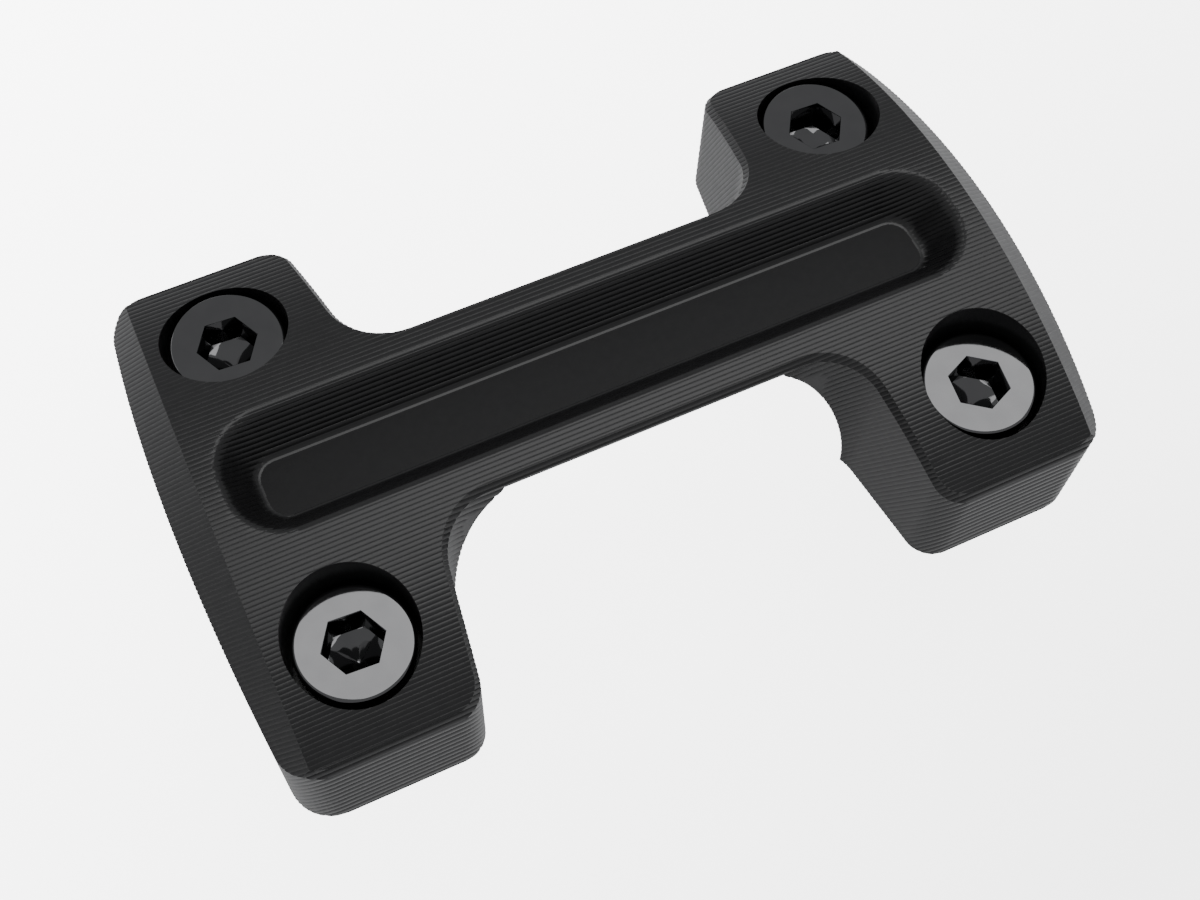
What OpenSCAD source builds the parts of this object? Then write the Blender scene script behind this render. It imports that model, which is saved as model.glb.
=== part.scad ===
// Handlebar clamp with four socket head bolts.
// A machined top clamp: two arms grip the handlebar and a narrow web with a long pocket joins them.
// The origin lies on the handlebar axis at the middle of the part.
// X runs along the handlebar, Y points to the rear and Z points up. Sizes are in millimetres.

/* [Handlebar seat] */
// diameter of the handlebar where the two arms grip it
bar_d = 28.6; // [22:0.1:32]
// height of the flat underside above the handlebar axis
split_gap = 0.6; // [0:0.1:1.5]
// distance that the seat reaches in past the inner wall of its arm at the bolt row
seat_lead = 0.1; // [0:0.1:1]
// clearance between the handlebar and the web
web_clear = 0.5; // [0.3:0.1:1]
// wall between the handlebar and the bolt holes
bar_wall = 0.95; // [0.8:0.05:3]

/* [Body outline] */
// length over both bowed ends
body_l = 100.8; // [84:0.2:130]
// radius of the bow of each end
end_bow_r = 290; // [200:5:600]
// width of an arm from its inner wall, at the bolt row, to the end of the body
arm_w = 24.5; // [22:0.1:28]
// slant of the inner walls of the arms
arm_slant = 7.5; // [2:0.5:10]
// distance from the bolt row to the front or rear wall
side_land = 11.4; // [9:0.1:15]
// radius of the outer upright corners
outer_r = 5; // [3:0.1:6]
// radius of the inner upright corners at the tips of the arms
inner_r = 3.6; // [2:0.1:4.5]
// width of the web across the handlebar
web_w = 22; // [20:0.1:24]
// radius of the hollow corners between web and arms
hollow_r = 7; // [4:0.1:8]

/* [Crown and bevels] */
// radius of the crown across the handlebar
crown_r = 67; // [55:1:100]
// width of the bevel of each end, measured in from the end
bevel_w = 4; // [2:0.1:5]
// steepness of the wide bevel
bevel_deg = 45; // [30:1:55]
// width of the narrow bevel along the other top edges
edge_w = 0.6; // [0.3:0.05:0.8]
// height of the narrow bevel on the walls
edge_h = 1; // [0.5:0.1:1.4]

/* [Underside] */
// height of the web's side walls below the crown
lip_t = 1.6; // [1.4:0.1:2.2]
// depth of the turned relief under the hollow corners, outwards from the seat
relief_deep = 9.7; // [8:0.1:10]

/* [Pocket] */
// thickness of the web between its underside and the pocket floor
floor_t = 3.2; // [2:0.1:6]
// depth of the pocket below the top of the crown
pocket_deep = 5.3; // [4:0.1:7]
// distance from each end of the body to the pocket's rim
pocket_land = 6.15; // [5.5:0.05:12]
// width of the web that is left on each side of the pocket
rim_w = 3.3; // [2.4:0.1:4]
// corner radius of the pocket at its rim
pocket_r = 6.5; // [5:0.1:6.8]
// width of the sloping wall from rim to floor
wall_run = 4.3; // [3.4:0.1:4.8]

/* [Bolts] */
// distance from a bolt's axis to the end of the body
end_land = 12.9; // [12.4:0.1:14]
// diameter of the bolt threads
bolt_d = 8; // [6:0.1:8.4]
// length of a bolt under its head
bolt_l = 25; // [18:0.5:40]
// diameter of the bolt heads
head_d = 13; // [11:0.1:13.4]
// height of the bolt heads
head_h = 8; // [6:0.1:9]
// bevel round the top of a bolt head
head_edge = 0.4; // [0.2:0.05:0.8]
// bevel round the tip of a bolt
tip_edge = 0.8; // [0.3:0.1:1.5]
// step in radius from the thread to the thinner plain shank
neck_step = 0.1; // [0.05:0.05:0.3]
// width of the hex sockets across their flats
hex_af = 6; // [4:0.1:7]
// depth of the flat walls of the hex sockets
hex_deep = 4.4; // [4.1:0.1:5]
// turn of the hex sockets in the order front left, front right, rear left, rear right
hex_turn = [-3.2, 23.2, -3.5, -1.9];
// height above the handlebar axis of the faces that the bolt heads rest on
head_seat_h = 10; // [8:0.1:11]
// clearance round the bolt shanks
hole_gap = 0.25; // [0.15:0.05:0.4]
// clearance round the bolt heads
bore_gap = 0.75; // [0.3:0.05:0.9]

/* [Hidden] */
// smoothness of turned surfaces
$fn = 120;
// smoothness of the large crown and end surfaces
fine = 360;
// amount that a cutter stands out past the surface that it opens
over = 1;
// amount that the bevel cutter stands out past its own bevel
skirt = 0.4;
// steps on each corner of the bevel cutter
corner_steps = 10;
// steps on each half of a bowed end, and on each inner wall, of the bevel cutter
wall_steps = 4;
// steps on each corner of the pocket
pocket_steps = 12;
// slope of the cone that a drill leaves
drill_deg = 31;

// handlebar as a radius
bar_r = bar_d / 2;
// half the length, and the distances along the handlebar that hang on it
half_l = body_l / 2;
arm_x = half_l - arm_w;
bolt_x = half_l - end_land;
bevel_x = half_l - bevel_w;
seat_x = arm_x - seat_lead;
// bolt row as a distance from the middle, and half the width
row_y = bar_r + bar_wall + bolt_d / 2 + hole_gap;
half_w = row_y + side_land;
// heights of the pocket floor and of the top line of the crown
floor_h = bar_r + web_clear + floor_t;
crown_h = floor_h + pocket_deep;
// pocket at its rim
pocket_l = body_l - 2 * pocket_land;
pocket_w = web_w - 2 * rim_w;
// end of the clearance under the web, just short of the seat
clear_x = seat_x - 2 * web_clear;
// start of the full relief, which runs out to the seat on a 45 degree cone
relief_x = seat_x - relief_deep;
relief_r = bar_r + relief_deep;
// length of the plain shank under a bolt head, which ends level with the handlebar axis
plain_l = head_seat_h;
// depth of the drilled cone under the flat walls of a socket
cone_h = hex_af / 2 * tan(drill_deg);

// outward direction of the inner wall of the front right arm
wall_nx = -cos(arm_slant);
wall_ny = -sin(arm_slant);
// X of a point at distance d outside that wall, at a given y
function wall_x(y, d) = arm_x + (d - (y + row_y) * wall_ny) / wall_nx;

// centres of the three corners of the front right quarter
hollow_c = [wall_x(-web_w / 2 - hollow_r, hollow_r), -web_w / 2 - hollow_r];
inner_c = [wall_x(-half_w + inner_r, -inner_r), -half_w + inner_r];
bow_x = half_l - end_bow_r;
outer_y = -half_w + outer_r;
outer_c = [bow_x + sqrt(pow(end_bow_r - outer_r, 2) - outer_y * outer_y), outer_y];
outer_a = atan2(outer_y, outer_c[0] - bow_x);

// height of the crown at a distance y from its top line
function crown_z(y) = crown_h - crown_r + sqrt(crown_r * crown_r - y * y);
// unit direction at angle a
function unit(a) = [cos(a), sin(a)];

// repeats a front right shape in all four quarters
module quarters() {
    children();
    mirror([1, 0, 0]) children();
    mirror([0, 1, 0]) children();
    mirror([1, 0, 0]) mirror([0, 1, 0]) children();
}

// what a corner rounding of radius r between the directions a and b takes off outside its arc
module corner_cut(c, r, a, b) {
    mid = (a + b) / 2;
    difference() {
        polygon([c, c + 2 * r * unit(a), c + 3.2 * r * unit(mid), c + 2 * r * unit(b)]);
        translate(c) circle(r = r);
    }
}

// gap between the arms in the front right quarter, with a hollow corner beside the web
// and a rounded corner at the tip of the arm
module notch() {
    y0 = -web_w / 2;
    y1 = -half_w - over;
    difference() {
        union() {
            polygon([
                [-over, y0],
                [hollow_c[0], y0],
                hollow_c,
                hollow_c + hollow_r * unit(arm_slant),
                inner_c - inner_r * unit(arm_slant),
                inner_c,
                [inner_c[0], -half_w],
                [inner_c[0], y1],
                [-over, y1]
            ]);
            translate(hollow_c) circle(r = hollow_r);
        }
        translate(inner_c) circle(r = inner_r);
    }
}

// outline of the body seen from above
module plan() {
    difference() {
        intersection() {
            square([body_l + over, 2 * half_w], center = true);
            translate([bow_x, 0]) circle(r = end_bow_r, $fn = 2 * fine);
            translate([-bow_x, 0]) circle(r = end_bow_r, $fn = 2 * fine);
        }
        quarters() {
            notch();
            corner_cut(outer_c, outer_r, -90, outer_a);
        }
    }
}

// crown with the wide bevels of both ends, turned about an axis below the part
module crown() {
    end_x = half_l + over;
    end_r = crown_r - (end_x - bevel_x) * tan(bevel_deg);
    translate([0, 0, crown_h - crown_r])
        rotate([0, 90, 0])
            rotate_extrude($fn = fine)
                polygon([
                    [0, -end_x],
                    [end_r, -end_x],
                    [crown_r, -bevel_x],
                    [crown_r, bevel_x],
                    [end_r, end_x],
                    [0, end_x]
                ]);
}

// outline points of the front right quarter as [x, y, outward x, outward y], from web to end
function quarter_points() = [
    for (i = [0 : corner_steps])
        let (n = unit(90 + (arm_slant - 90) * i / corner_steps), p = hollow_c + hollow_r * n)
            [p[0], p[1], -n[0], -n[1]],
    for (i = [1 : wall_steps - 1])
        let (y0 = hollow_c[1] + hollow_r * sin(arm_slant), y1 = inner_c[1] - inner_r * sin(arm_slant),
             y = y0 + (y1 - y0) * i / wall_steps)
            [wall_x(y, 0), y, wall_nx, wall_ny],
    for (i = [0 : corner_steps])
        let (n = unit(180 + arm_slant + (90 - arm_slant) * i / corner_steps), p = inner_c + inner_r * n)
            [p[0], p[1], n[0], n[1]],
    for (i = [0 : corner_steps])
        let (n = unit(-90 + (outer_a + 90) * i / corner_steps), p = outer_c + outer_r * n)
            [p[0], p[1], n[0], n[1]],
    for (i = [1 : wall_steps])
        let (n = unit(outer_a * (1 - i / (wall_steps + 0.5))))
            [bow_x + end_bow_r * n[0], end_bow_r * n[1], n[0], n[1]]
];

// the same points mirrored by the signs sx and sy, and in reverse order where one sign is negative
function placed(pts, sx, sy) = [
    for (i = [0 : len(pts) - 1])
        let (p = pts[sx * sy > 0 ? i : len(pts) - 1 - i])
            [sx * p[0], sy * p[1], sx * p[2], sy * p[3]]
];

// one cross-section of the bevel cutter: inner top corner, outer bottom corner and outer top corner
function edge_section(p) =
    let (z_in = crown_z(p[1] - edge_w * p[3]), z_out = crown_z(p[1]) - edge_h, k = (z_in - z_out) / edge_w)
    let (a = edge_w + skirt)
    [
        [p[0] - a * p[2], p[1] - a * p[3], z_in + k * skirt],
        [p[0] + skirt * p[2], p[1] + skirt * p[3], z_out - k * skirt],
        [p[0] + skirt * p[2], p[1] + skirt * p[3], z_in + k * skirt + over]
    ];

// closed ring that takes the narrow bevel off the top edges
module edge_cutter() {
    q = quarter_points();
    loop = concat(placed(q, 1, 1), placed(q, 1, -1), placed(q, -1, -1), placed(q, -1, 1));
    n = len(loop);
    pts = [for (p = loop) for (v = edge_section(p)) v];
    faces = [
        for (i = [0 : n - 1])
            for (s = [[0, 1], [1, 2], [2, 0]])
                let (j = (i + 1) % n)
                    for (f = [
                        [3 * i + s[0], 3 * i + s[1], 3 * j + s[1]],
                        [3 * i + s[0], 3 * j + s[1], 3 * j + s[0]]
                    ])
                        f
    ];
    polyhedron(points = pts, faces = faces, convexity = 8);
}

// sunk share of the pocket depth at a fraction t of the wall run, rounded at the rim and at the floor
rim_part = 0.3;
foot_part = 0.25;
rim_slope = 0.25;
mid_slope = 1 / (1 - rim_part / 2 - foot_part / 2);
function sunk(t) =
    t < 0 ? rim_slope * t :
    rim_slope * t * (1 - t) * (1 - t) + (
        t < rim_part ? mid_slope * t * t / (2 * rim_part) :
        t < 1 - foot_part ? mid_slope * (t - rim_part / 2) :
        1 - mid_slope * (1 - t) * (1 - t) / (2 * foot_part));

// ring of the pocket wall at a fraction t of the wall run, at a lift above the crown when t is the rim
function pocket_ring(t, lift) = [
    for (q = [0 : 3])
        for (i = [0 : pocket_steps])
            let (
                d = t * wall_run,
                sx = q == 0 || q == 3 ? 1 : -1,
                sy = q < 2 ? 1 : -1,
                u = unit(90 * q + 90 * i / pocket_steps),
                x = sx * (pocket_l / 2 - pocket_r) + (pocket_r - d) * u[0],
                y = sy * (pocket_w / 2 - pocket_r) + (pocket_r - d) * u[1]
            )
                [x, y, lift > 0 ? crown_h + lift : crown_z(y) * (1 - sunk(t)) + floor_h * sunk(t)]
];

// long pocket in the top of the web, with sloping walls that are rounded at the rim and at the floor
module pocket() {
    steps = [-0.25, 0.06, 0.12, 0.18, 0.24, 0.3, 0.75, 0.8125, 0.875, 0.9375, 1];
    rings = concat([pocket_ring(steps[0], over)], [for (t = steps) pocket_ring(t, 0)]);
    m = len(rings[0]);
    pts = [for (r = rings) for (p = r) p];
    sides = [
        for (k = [0 : len(rings) - 2])
            for (i = [0 : m - 1])
                let (j = (i + 1) % m)
                    for (f = [
                        [k * m + i, k * m + j, (k + 1) * m + j],
                        [k * m + i, (k + 1) * m + j, (k + 1) * m + i]
                    ])
                        f
    ];
    lid = [for (i = [0 : m - 1]) m - 1 - i];
    base = [for (i = [0 : m - 1]) (len(rings) - 1) * m + i];
    polyhedron(points = pts, faces = concat([lid], sides, [base]), convexity = 4);
}

// handlebar bore through both arms, with a light clearance under the web
module bar_bore() {
    rotate([0, 90, 0]) cylinder(h = body_l + 2 * over, r = bar_r, center = true);
    rotate([0, 90, 0]) cylinder(h = 2 * clear_x, r = bar_r + web_clear, center = true);
}

// turned relief between the arms, which leaves the wedge of the web standing
module relief() {
    wedge_z = crown_z(web_w / 2) - lip_t - web_w / 2;
    tip_x = relief_x + relief_r;
    difference() {
        rotate([0, 90, 0])
            rotate_extrude()
                polygon([[0, -tip_x], [relief_r, -relief_x], [relief_r, relief_x], [0, tip_x]]);
        rotate([90, 0, 90])
            linear_extrude(height = body_l, center = true)
                polygon([[0, wedge_z], [half_w, wedge_z + half_w], [-half_w, wedge_z + half_w]]);
    }
}

// place of each bolt, in the order of hex_turn
function bolt_at(i) = [(i % 2 == 0 ? -1 : 1) * bolt_x, (i < 2 ? -1 : 1) * row_y, head_seat_h];

// stepped bore for one bolt, from its head seat as origin
module bolt_bore() {
    cylinder(h = crown_h, r = head_d / 2 + bore_gap);
    translate([0, 0, -head_seat_h]) cylinder(h = head_seat_h + over, r = bolt_d / 2 + hole_gap);
}

module clamp_body() {
    color([0.15, 0.15, 0.16])
        difference() {
            intersection() {
                translate([0, 0, split_gap]) linear_extrude(height = crown_h) plan();
                crown();
            }
            edge_cutter();
            pocket();
            bar_bore();
            relief();
            for (i = [0 : 3]) translate(bolt_at(i)) bolt_bore();
        }
}

// socket head bolt, from its head seat as origin
module bolt(turn) {
    thread_r = bolt_d / 2;
    shank_r = thread_r - neck_step;
    head_r = head_d / 2;
    color([0.62, 0.62, 0.64])
        difference() {
            rotate_extrude()
                polygon([
                    [0, -bolt_l],
                    [thread_r - tip_edge, -bolt_l],
                    [thread_r, -bolt_l + tip_edge],
                    [thread_r, -plain_l - neck_step],
                    [shank_r, -plain_l],
                    [shank_r, 0],
                    [head_r, 0],
                    [head_r, head_h - head_edge],
                    [head_r - head_edge, head_h],
                    [0, head_h]
                ]);
            translate([0, 0, head_h - hex_deep])
                rotate([0, 0, turn])
                    cylinder(h = hex_deep + over, r = hex_af / 2 / cos(30), $fn = 6);
            translate([0, 0, head_h - hex_deep - cone_h])
                cylinder(h = cone_h, r1 = 0, r2 = hex_af / 2);
        }
}

module bolt_front_left() {
    translate(bolt_at(0)) bolt(hex_turn[0]);
}

module bolt_front_right() {
    translate(bolt_at(1)) bolt(hex_turn[1]);
}

module bolt_rear_left() {
    translate(bolt_at(2)) bolt(hex_turn[2]);
}

module bolt_rear_right() {
    translate(bolt_at(3)) bolt(hex_turn[3]);
}

clamp_body();
bolt_front_left();
bolt_front_right();
bolt_rear_left();
bolt_rear_right();
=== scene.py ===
"""Looks of a handlebar clamp: a milled black body, four dark socket head bolts, a pale studio floor."""

import bpy
import numpy as np
from mathutils import Matrix


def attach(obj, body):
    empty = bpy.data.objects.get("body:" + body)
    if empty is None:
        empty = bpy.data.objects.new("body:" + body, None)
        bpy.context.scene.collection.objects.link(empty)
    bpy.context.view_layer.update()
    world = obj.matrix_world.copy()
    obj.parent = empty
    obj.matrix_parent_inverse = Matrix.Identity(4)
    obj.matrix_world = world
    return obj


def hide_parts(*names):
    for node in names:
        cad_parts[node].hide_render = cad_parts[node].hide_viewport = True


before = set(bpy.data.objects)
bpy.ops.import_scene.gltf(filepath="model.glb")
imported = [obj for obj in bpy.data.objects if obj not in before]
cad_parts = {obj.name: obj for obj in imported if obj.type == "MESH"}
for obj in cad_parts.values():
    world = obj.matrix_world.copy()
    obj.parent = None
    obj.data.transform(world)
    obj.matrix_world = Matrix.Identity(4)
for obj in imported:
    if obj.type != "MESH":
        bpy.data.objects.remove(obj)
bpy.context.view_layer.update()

# Camera: it looks down over the front left of the clamp from about 190 mm, as in the photograph.
# Its place and turn were fitted to the rims and hexagons of the bolts.
camera_data = bpy.data.cameras.new("camera")
camera_data.sensor_width = 36.0
camera_data.lens = 50.74
camera_data.clip_start = 0.01
camera_data.clip_end = 20.0
camera = bpy.data.objects.new("camera", camera_data)
bpy.context.scene.collection.objects.link(camera)
right = np.array([0.90649267, -0.42134325, 0.02721969])
down = np.array([-0.36536338, -0.81509946, -0.44958033])
forward = np.array([0.21161439, 0.39759619, -0.89282508])
turn = np.eye(4)
turn[:3, :3] = np.column_stack([right, -down, -forward])
turn[:3, 3] = [-0.044107, -0.083288, 0.182998]
camera.matrix_world = Matrix(turn.tolist())
bpy.context.scene.camera = camera

# Floor: a wide matt sheet of white paper that the clamp stands on by its bolt tips. The camera sees it
# overexposed by a painted glow, most at the far left, while the clamp mirrors it as lit by the lamps plus
# a faint painted glow.
FLOOR_Z = -0.0151  # a tenth of a millimetre under the bolt tips
FLOOR_HALF = 3.0  # half the side of the sheet
FLOOR_STEPS = 60  # points along each side
FLAT_R = 2.0  # the sheet is flat up to this far from the middle
RISE = 0.05  # height over the square of the distance past that


def sweep_grid():
    """Points (x, y, z): x and y run evenly over a square, and z is the floor height plus RISE times
    the square of how far the point lies more than FLAT_R from the middle."""
    side = np.linspace(-FLOOR_HALF, FLOOR_HALF, FLOOR_STEPS)
    x, y = np.meshgrid(side, side, indexing="ij")
    far = np.maximum(np.hypot(x, y) - FLAT_R, 0.0)
    return np.stack([x, y, FLOOR_Z + RISE * far**2], axis=-1)


def grid_faces(nu, nv, wrap_v=False):
    """Quads between neighbouring rows and columns of a grid whose points are numbered row by row."""
    i = np.arange(nu - 1)[:, None] * nv
    j = np.arange(nv if wrap_v else nv - 1)[None, :]
    k = (j + 1) % nv
    return np.stack([i + j, i + nv + j, i + nv + k, i + k], axis=-1).reshape(-1, 4)


def add_piece(name, points, faces):
    """A smooth shaded mesh object at the origin from an array of points and rows of corner numbers."""
    mesh = bpy.data.meshes.new(name)
    mesh.from_pydata(points.reshape(-1, 3).tolist(), [], [face.tolist() for face in faces])
    mesh.validate()
    mesh.polygons.foreach_set("use_smooth", np.full(len(mesh.polygons), True))
    piece = bpy.data.objects.new(name, mesh)
    bpy.context.scene.collection.objects.link(piece)
    return piece


floor = add_piece("floor", sweep_grid(), grid_faces(FLOOR_STEPS, FLOOR_STEPS))
paper = bpy.data.materials.new("white_paper_painted_glow")
paper.use_nodes = True
nodes, links = paper.node_tree.nodes, paper.node_tree.links
bsdf = nodes["Principled BSDF"]
bsdf.inputs["Roughness"].default_value = 0.9
bsdf.inputs["Specular IOR Level"].default_value = 0.0
bsdf.inputs["Base Color"].default_value = (0.9, 0.9, 0.905, 1.0)
bsdf.inputs["Emission Color"].default_value = (1.0, 1.0, 1.0, 1.0)
# Painted glow: an emission strength for camera rays that runs from 3.4 to 7.5, so the paper is brightest
# towards the far left.
place = nodes.new("ShaderNodeTexCoord")
along = nodes.new("ShaderNodeVectorMath")
along.operation = "DOT_PRODUCT"
along.inputs[1].default_value = (-0.4, 0.92, 0.0)
links.new(place.outputs["Object"], along.inputs[0])
glow = nodes.new("ShaderNodeMapRange")
glow.inputs["From Min"].default_value = -0.08
glow.inputs["From Max"].default_value = 0.12
glow.inputs["To Min"].default_value = 3.4
glow.inputs["To Max"].default_value = 7.5
links.new(along.outputs["Value"], glow.inputs["Value"])
# Painted glow: camera rays get the graded glow, and every ray, so every reflection in the clamp, gets a
# faint glow of 0.22.
seen = nodes.new("ShaderNodeLightPath")
painted_glow_strength = nodes.new("ShaderNodeMath")
painted_glow_strength.operation = "MULTIPLY_ADD"  # the camera's rays times the glow, plus what all rays see
painted_glow_strength.inputs[2].default_value = 0.22
links.new(seen.outputs["Is Camera Ray"], painted_glow_strength.inputs[0])
links.new(glow.outputs["Result"], painted_glow_strength.inputs[1])
links.new(painted_glow_strength.outputs["Value"], bsdf.inputs["Emission Strength"])
floor.data.materials.append(paper)

# Light: a large softbox overhead to the right, which the crests and the front bolt heads mirror,
# a soft key from the rear left that throws the faint shadow, and an even grey surround.
surround = bpy.data.worlds.new("surround")
surround.use_nodes = True
surround.node_tree.nodes["Background"].inputs["Color"].default_value = (0.97, 0.98, 1.0, 1.0)
surround.node_tree.nodes["Background"].inputs["Strength"].default_value = 0.46
bpy.context.scene.world = surround


def add_softbox(name, place, target, size_x, size_y, radiance):
    """A rectangular lamp at place that points at target. Its power in watts is
    radiance times its area times pi, so radiance is the brightness that a mirror would show."""
    lamp = bpy.data.lights.new(name, "AREA")
    lamp.shape = "RECTANGLE"
    lamp.size, lamp.size_y = size_x, size_y
    lamp.energy = radiance * size_x * size_y * np.pi
    obj = bpy.data.objects.new(name, lamp)
    bpy.context.scene.collection.objects.link(obj)
    back = np.array(place, float) - np.array(target, float)
    back /= np.linalg.norm(back)
    side = np.cross([0.0, 1.0, 0.0], back)
    side /= np.linalg.norm(side)
    m = np.eye(4)
    m[:3, :3] = np.column_stack([side, np.cross(back, side), back])
    m[:3, 3] = place
    obj.matrix_world = Matrix(m.tolist())


add_softbox("softbox_top", (0.30, 0.15, 1.0), (0.30, 0.15, 0.0), 0.80, 0.60, 2.2)
add_softbox("softbox_key", (-0.9, 1.3, 1.5), (0.0, 0.0, 0.0), 0.7, 0.7, 2.0)

# Clamp body: a block of black anodised aluminium, milled all over by a small cutter whose tilted
# passes leave fine parallel ridges. The bores, the seat, the relief and the pocket floor are smooth.
# The ridges are cut into a copy of the solid's own mesh.
RIDGE_STEP = np.array([0.0, 1770.0, 800.0])  # ridges passed per metre along X, Y and Z
LEAST_STEP = 700.0  # ridges passed per metre of surface, at least, so that no ridge gets too wide
RIDGE_LEVELS = np.array([0.0, 0.1, 0.28, 0.72, 0.9])  # where each ridge is cut across
RIDGE_DEPTH = 0.14  # groove depth on the walls as a share of the spacing on the surface
TOP_SHARE = 0.35  # share of that depth on faces that point up
POCKET_FLOOR = 0.018  # height of the pocket's floor, where the ridges have run out
POCKET_X, POCKET_Y = 0.0415, 0.012  # half the box round the foot of the pocket's walls
FOOT_RUN = 0.0006  # height above the floor where the ridges are full
CROWN_R, CROWN_TOP = 0.067, 0.0233
BEVEL_X, CROWN_FOOT = 0.0465, 0.01  # the crown lies inside this half length and above this height
BOLT_X, BOLT_Y = 0.0375, 0.0195
BORE_R, CLEAR_R = 0.00727, 0.01485  # just over the counterbores and the bar's clearance
RELIEF_R = 0.024  # the turned relief in the underside
CONE_SUM = 0.0401  # radius plus distance from the middle on the relief's cones
NEAR = 0.0001  # how close a triangle lies to a turned face that it belongs to


def merged_mesh(obj):
    """Corner points and triangles of an object's mesh, with corners closer than a micron joined."""
    mesh = obj.data
    co = np.zeros(len(mesh.vertices) * 3)
    mesh.vertices.foreach_get("co", co)
    mesh.calc_loop_triangles()
    tris = np.zeros(len(mesh.loop_triangles) * 3, np.int64)
    mesh.loop_triangles.foreach_get("vertices", tris)
    key = np.round(co.reshape(-1, 3) * 1e6).astype(np.int64)
    _, first, same = np.unique(key, axis=0, return_index=True, return_inverse=True)
    tris = same.reshape(-1)[tris].reshape(-1, 3)
    kept = (tris[:, 0] != tris[:, 1]) & (tris[:, 1] != tris[:, 2]) & (tris[:, 2] != tris[:, 0])
    return co.reshape(-1, 3)[first], tris[kept]


def level_rank(phase):
    """How many ridge levels lie at or below each phase, counted up from phase zero."""
    whole = np.floor(phase)
    part = np.searchsorted(RIDGE_LEVELS, phase - whole, side="right")
    return (len(RIDGE_LEVELS) * whole).astype(np.int64) + part


def runs(counts):
    """For runs of the given lengths laid end to end: each entry's run and its place in that run."""
    owner = np.repeat(np.arange(len(counts)), counts)
    return owner, np.arange(len(owner)) - np.repeat(np.cumsum(counts) - counts, counts)


def cut_by_ridges(points, tris, milled):
    """Cuts the milled triangles along every ridge level. The phase of a point is the dot product of its
    place with RIDGE_STEP, so one whole number lies between two neighbouring grooves. Each edge gets a
    new point at start + (end - start) * (level - phase_start) / (phase_end - phase_start) for every
    level that it crosses. A milled triangle becomes strips between its long edge and its two short
    ones. A neighbour that isn't milled becomes a fan about its own middle, so that no seam opens."""
    phase = points @ RIDGE_STEP
    rank = level_rank(phase)
    order = np.argsort(phase[tris], axis=1, kind="stable")
    low, mid, high = np.take_along_axis(tris, order, 1).T
    turned = (order[:, 1] - order[:, 0]) % 3 != 1

    total = len(points)
    keys = np.stack([low * total + high, low * total + mid, mid * total + high])
    edges, edge_of = np.unique(keys, return_inverse=True)
    edge_of = edge_of.reshape(3, -1)
    start, end = edges // total, edges % total
    used = np.zeros(len(edges), bool)
    used[edge_of[:, milled]] = True
    count = np.where(used, rank[end] - rank[start], 0)
    owner, place = runs(count)
    number = rank[start[owner]] + place
    level = number // len(RIDGE_LEVELS) + RIDGE_LEVELS[number % len(RIDGE_LEVELS)]
    a, b = start[owner], end[owner]
    fresh = points[a] + (points[b] - points[a]) * ((level - phase[a]) / (phase[b] - phase[a]))[:, None]
    base = total + np.cumsum(count) - count

    def chain(edge, step):
        """Point number step along an edge, from 0 at its start to one past its new points at its end."""
        inner = base[edge] + step - 1
        return np.where(step == 0, start[edge], np.where(step > count[edge], end[edge], inner))

    def faces(corners, flip):
        """Three rows of corners as triangles, the last two swapped where flip is true."""
        first, second, third = corners
        return np.stack([first, np.where(flip, third, second), np.where(flip, second, third)], axis=1)

    long_edge, low_edge, high_edge = edge_of[:, milled]
    lower, flip = count[low_edge], turned[milled]

    def short_side(i, step):
        """The same along the two short edges of milled triangle i."""
        on_low = step <= lower[i]
        return chain(np.where(on_low, low_edge[i], high_edge[i]), np.where(on_low, step, step - lower[i]))

    i, step = runs(count[long_edge] + 1)
    near, far = chain(long_edge[i], step), chain(long_edge[i], step + 1)
    beside, beyond = short_side(i, step), short_side(i, step + 1)
    opens, closes = step > 0, step < count[long_edge][i]
    each = np.arange(len(lower))
    strips = np.concatenate([
        faces((near, beside, beyond), flip[i])[opens],
        faces((near, beyond, far), flip[i])[closes],
        faces((short_side(each, lower), mid[milled], short_side(each, lower + 1)), flip),
    ])

    cut = count[edge_of].sum(0) > 0
    beside_milled = ~milled & cut
    middle = points[tris[beside_milled]].mean(1)
    hub = total + len(fresh) + np.arange(len(middle))
    fans = []
    for row, backward in ((0, True), (1, False), (2, False)):
        edge = edge_of[row, beside_milled]
        i, step = runs(count[edge] + 1)
        ends = (chain(edge[i], step), chain(edge[i], step + 1), hub[i])
        fans.append(faces((ends[2], ends[0], ends[1]), turned[beside_milled][i] ^ backward))
    plain = np.concatenate([tris[~milled & ~cut], *fans])
    return (
        np.concatenate([points, fresh, middle]),
        np.concatenate([phase, level, middle @ RIDGE_STEP]),
        np.concatenate([strips, plain]),
        np.arange(len(strips) + len(plain)) < len(strips),
    )


def face_normals(points, tris):
    """Cross product of two edges of each triangle, twice its area long."""
    a, b, c = points[tris[:, 0]], points[tris[:, 1]], points[tris[:, 2]]
    return np.cross(b - a, c - a)


def is_milled(points, tris):
    """True for the triangles that the ridges run over: not the flat floors, not the underside,
    not the bolt bores, not the handlebar bore and not the turned relief."""
    n = face_normals(points, tris)
    n /= np.linalg.norm(n, axis=1)[:, None] + 1e-30
    m = points[tris].mean(1)
    round_bar = np.hypot(m[:, 1], m[:, 2])
    to_bolt = np.hypot(np.abs(m[:, 0]) - BOLT_X, np.abs(m[:, 1]) - BOLT_Y)
    round_x = np.abs(n[:, 0]) < 0.3
    flat = (np.abs(n[:, 2]) > 0.99) & (m[:, 2] < POCKET_FLOOR + NEAR / 2)
    cone = np.abs(round_bar - (CONE_SUM - np.abs(m[:, 0]))) < NEAR
    relief = (np.abs(round_bar - RELIEF_R) < NEAR) & round_x & (n[:, 2] < 0)
    seat = (round_bar < CLEAR_R) & round_x
    return ~(flat | (n[:, 2] < -0.3) | (to_bolt < BORE_R) | seat | cone | relief)


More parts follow.
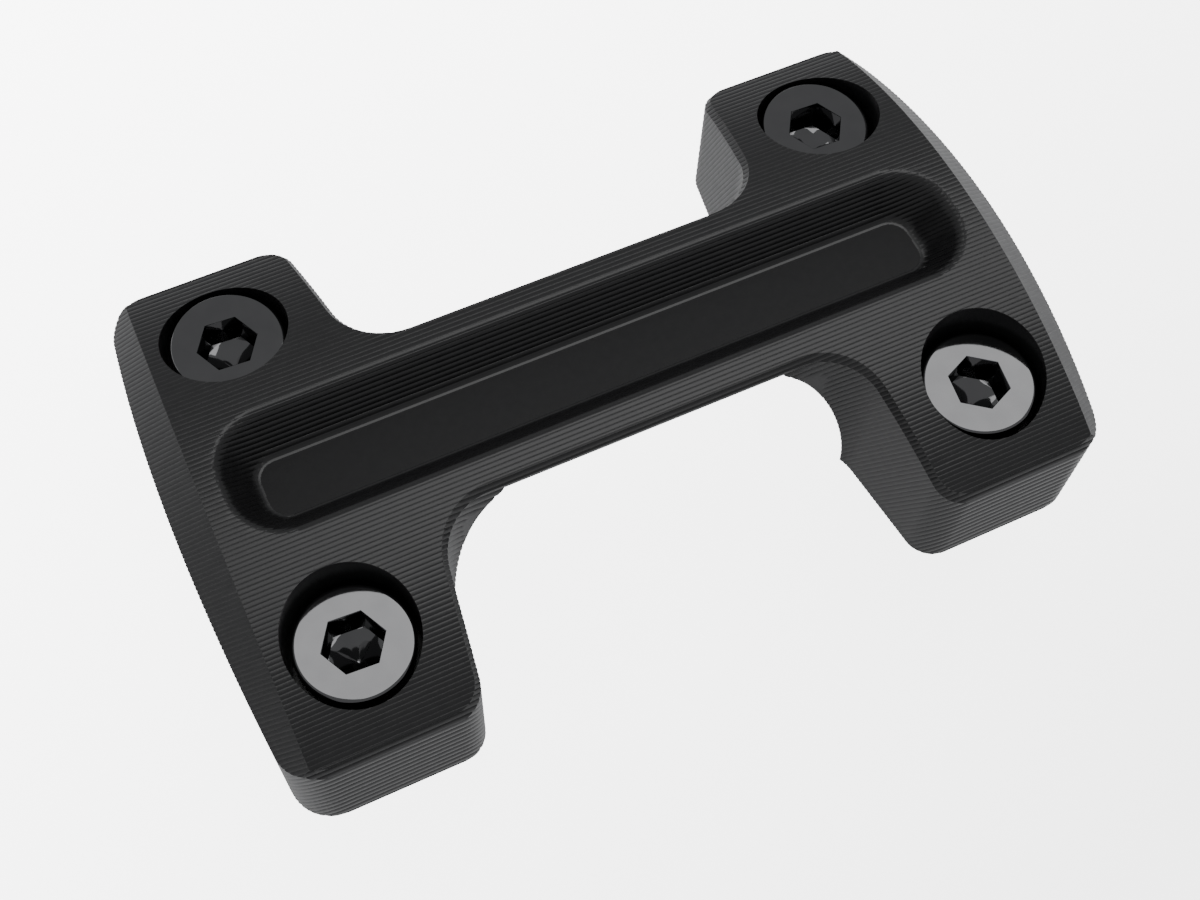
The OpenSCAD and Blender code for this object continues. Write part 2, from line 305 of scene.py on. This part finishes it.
def onto_crown(points):
    """Moves points that lie on the crown's facets onto its true arc of radius CROWN_R."""
    z_axis = CROWN_TOP - CROWN_R
    r = np.hypot(points[:, 1], points[:, 2] - z_axis)
    facet_sag = 3e-5
    inside = (np.abs(points[:, 0]) < BEVEL_X) & (points[:, 2] > CROWN_FOOT)
    near = (np.abs(r - CROWN_R) < facet_sag) & inside
    scale = np.where(near, CROWN_R / r, 1.0)
    moved = points.copy()
    moved[:, 1] *= scale
    moved[:, 2] = z_axis + (points[:, 2] - z_axis) * scale
    return moved


def ridged(points, phase, tris, milled):
    """Sinks each point of the milled faces along their mean normal by RIDGE_DEPTH times the local
    ridge spacing times abs(2 f - 1) ** 3, where f is the fraction of the phase: 1 in a groove
    and 0 on a crest. The spacing is one over the slope of the phase along the surface. The depth
    falls to TOP_SHARE as the normal turns up, and to nothing on the walls' foot at the pocket floor."""
    n = face_normals(points, tris[milled])
    total = np.zeros_like(points)
    for corner in range(3):
        np.add.at(total, tris[milled][:, corner], n)
    length = np.linalg.norm(total, axis=1)
    on = length > 0
    normal = total / np.where(on, length, 1.0)[:, None]
    along = RIDGE_STEP - (normal @ RIDGE_STEP)[:, None] * normal
    spacing = 1.0 / np.maximum(np.linalg.norm(along, axis=1), LEAST_STEP)
    f = phase - np.floor(phase)
    upright = 1.0 - (1.0 - TOP_SHARE) * np.clip((normal[:, 2] - 0.5) / 0.4, 0.0, 1.0)
    in_pocket = (np.abs(points[:, 0]) < POCKET_X) & (np.abs(points[:, 1]) < POCKET_Y)
    foot = np.where(in_pocket, np.clip((points[:, 2] - POCKET_FLOOR) / FOOT_RUN, 0.0, 1.0), 1.0)
    depth = RIDGE_DEPTH * upright * foot * spacing
    sink = np.where(on, depth * np.abs(2 * f - 1) ** 3, 0.0)
    return points - normal * sink[:, None]


body_points, body_tris = merged_mesh(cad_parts["clamp_body"])
milled = is_milled(body_points, body_tris)
body_points, body_phase, body_tris, milled = cut_by_ridges(body_points, body_tris, milled)
body_points = ridged(onto_crown(body_points), body_phase, body_tris, milled)
body = add_piece("clamp_body_milled", body_points, body_tris)
body.data.set_sharp_from_angle(angle=np.radians(25.0))
on_floor = (np.abs(body_points[body_tris][:, :, 2] - POCKET_FLOOR) < 2e-5).all(1)
body.data.polygons.foreach_set("material_index", on_floor.astype(np.int32))
body.data.polygons.foreach_set("use_smooth", ~on_floor)

anodised = bpy.data.materials.new("black_anodised")
anodised.use_nodes = True
nodes, links = anodised.node_tree.nodes, anodised.node_tree.links
bsdf = nodes["Principled BSDF"]
bsdf.inputs["IOR"].default_value = 1.5
place = nodes.new("ShaderNodeTexCoord")
grain = nodes.new("ShaderNodeTexNoise")
grain.inputs["Scale"].default_value = 900.0
grain.inputs["Detail"].default_value = 3.0
links.new(place.outputs["Object"], grain.inputs["Vector"])
shade = nodes.new("ShaderNodeValToRGB")
shade.color_ramp.elements[0].color = (0.006, 0.006, 0.0065, 1.0)
shade.color_ramp.elements[1].color = (0.012, 0.012, 0.0125, 1.0)
links.new(grain.outputs["Fac"], shade.inputs["Fac"])
links.new(shade.outputs["Color"], bsdf.inputs["Base Color"])
gloss = nodes.new("ShaderNodeMapRange")
gloss.inputs["To Min"].default_value = 0.26
gloss.inputs["To Max"].default_value = 0.36
links.new(grain.outputs["Fac"], gloss.inputs["Value"])
links.new(gloss.outputs["Result"], bsdf.inputs["Roughness"])
body.data.materials.append(anodised)

# The pocket's smooth floor has the same black coat, but it mirrors less.
pocket_black = anodised.copy()
pocket_black.name = "black_anodised_pocket"
pocket_black.node_tree.nodes["Principled BSDF"].inputs["Specular IOR Level"].default_value = 0.2
body.data.materials.append(pocket_black)
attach(body, "root")
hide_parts("clamp_body")

# Bolts: M8 socket head screws of dark steel, turned with a bevelled head and a rolled thread.
# Each lies with its head flat on its seat, and its hexagon stands as it was last tightened.
HEAD_R, HEAD_H, SHANK_R, SHANK_L = 0.0065, 0.008, 0.004, 0.025
HEX_AF, HEX_DEEP = 0.006, 0.0044
CONE_H = HEX_AF / 2 * np.tan(np.radians(31))  # depth of the drilled cone under the hexagon
SEAT_Z, PLAIN_L, PLAIN_R = 0.010, 0.010, 0.0039
THREAD_PITCH, THREAD_DEEP = 0.00125, 0.0006
TIP_R, TIP_RUN = 0.0033, 0.0018  # where the thread runs out at the tip


def bolt_rings(steps=96):
    """Radius and height for every ring and angle of a bolt, from the drilled cone in the socket out
    over the head and down the thread. The hexagon's radius is half its width over the cosine of the
    angle from the nearest flat's middle. The thread's radius falls by THREAD_DEEP in a triangle wave
    of height / THREAD_PITCH + angle / full turn."""
    angle = np.linspace(0, 2 * np.pi, steps, endpoint=False)
    ones = np.ones(steps)
    hexagon = HEX_AF / 2 / np.cos(angle % (np.pi / 3) - np.pi / 6)
    floor_z = HEAD_H - HEX_DEEP
    rings = [(HEX_AF / 2 * s * ones, (floor_z - CONE_H * (1 - s)) * ones) for s in (0.12, 0.4, 0.7, 0.97)]
    rings += [(hexagon * s, z * ones) for s, z in [
        (0.995, floor_z), (1.0, floor_z + 0.0001), (1.0, floor_z + 0.002), (1.0, HEAD_H - 0.0002),
        (1.01, HEAD_H - 0.00006), (1.03, HEAD_H)]]
    rings += [(hexagon * (1 - s) * 1.03 + s * 0.0061 * ones, HEAD_H * ones) for s in (0.1, 0.5, 0.9)]
    rings += [(r * ones, z * ones) for r, z in [
        (0.00605, HEAD_H), (0.0062, HEAD_H), (0.00633, HEAD_H - 0.00005), (0.00645, HEAD_H - 0.00015),
        (HEAD_R, HEAD_H - 0.0003), (HEAD_R, HEAD_H - 0.0006), (HEAD_R, 0.0003), (0.0064, 0.0),
        (0.0060, 0.0), (0.0046, 0.0), (0.0042, -0.0001), (PLAIN_R, -0.0004), (PLAIN_R, -0.0099)]]
    z = np.arange(-PLAIN_L, -SHANK_L + 0.0011, -THREAD_PITCH / 8)[:, None] * ones
    wave = np.abs(((z / THREAD_PITCH + angle / (2 * np.pi)) % 1.0) * 2 - 1)
    fade = np.clip((-PLAIN_L - z) / 0.001, 0, 1)
    sunk = THREAD_DEEP * np.clip(wave * 1.25 - 0.12, 0, 1) * fade
    thread = SHANK_R - (SHANK_R - PLAIN_R) * (1 - fade) - sunk
    taper = np.clip((z + SHANK_L) / TIP_RUN, 0, 1)
    thread = np.minimum(thread, TIP_R + (SHANK_R - TIP_R) * taper)
    rings += list(zip(thread, z))
    rings += [(0.0032 * ones, (-SHANK_L + 0.0004) * ones), (0.0029 * ones, -SHANK_L * ones),
              (0.0010 * ones, -SHANK_L * ones)]
    return angle, np.array([r for r, _ in rings]), np.array([z for _, z in rings])


def bolt_points(x, y, turn_deg):
    """Every ring point at (x + r cos(a + turn), y + r sin(a + turn), seat + z), then the two poles."""
    angle, r, z = bolt_rings()
    a = angle + np.radians(turn_deg)
    grid = np.stack([x + r * np.cos(a), y + r * np.sin(a), SEAT_Z + z], axis=-1)
    poles = [[x, y, SEAT_Z + HEAD_H - HEX_DEEP - CONE_H], [x, y, SEAT_Z - SHANK_L]]
    return grid, np.array(poles)


steel = bpy.data.materials.new("dark_steel")
steel.use_nodes = True
nodes, links = steel.node_tree.nodes, steel.node_tree.links
bsdf = nodes["Principled BSDF"]
bsdf.inputs["Metallic"].default_value = 1.0
place = nodes.new("ShaderNodeTexCoord")
smear = nodes.new("ShaderNodeTexNoise")
smear.inputs["Scale"].default_value = 350.0
smear.inputs["Detail"].default_value = 4.0
links.new(place.outputs["Object"], smear.inputs["Vector"])
tone = nodes.new("ShaderNodeValToRGB")
tone.color_ramp.elements[0].color = (0.115, 0.115, 0.118, 1.0)
tone.color_ramp.elements[1].color = (0.145, 0.145, 0.147, 1.0)
links.new(smear.outputs["Fac"], tone.inputs["Fac"])
links.new(tone.outputs["Color"], bsdf.inputs["Base Color"])
polish = nodes.new("ShaderNodeMapRange")
polish.inputs["To Min"].default_value = 0.05
polish.inputs["To Max"].default_value = 0.09
links.new(smear.outputs["Fac"], polish.inputs["Value"])
links.new(polish.outputs["Result"], bsdf.inputs["Roughness"])

for name, sx, sy, turn_deg in [
    ("front_left", -1, -1, -3.2),
    ("front_right", 1, -1, 23.2),
    ("rear_left", -1, 1, -3.5),
    ("rear_right", 1, 1, -1.9),
]:
    grid, poles = bolt_points(sx * BOLT_X, sy * BOLT_Y, turn_deg)
    nu, nv = grid.shape[:2]
    quads = grid_faces(nu, nv, wrap_v=True)
    j = np.arange(nv)
    start = np.stack([np.full(nv, nu * nv), j, (j + 1) % nv], axis=1)
    end = np.stack([np.full(nv, nu * nv + 1), (nu - 1) * nv + (j + 1) % nv, (nu - 1) * nv + j], axis=1)
    bolt = add_piece(
        "bolt_" + name + "_turned",
        np.concatenate([grid.reshape(-1, 3), poles]),
        list(quads) + list(start) + list(end),
    )
    bolt.data.set_sharp_from_angle(angle=np.radians(28.0))
    bolt.data.materials.append(steel)
    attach(bolt, "root")
    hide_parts("bolt_" + name)
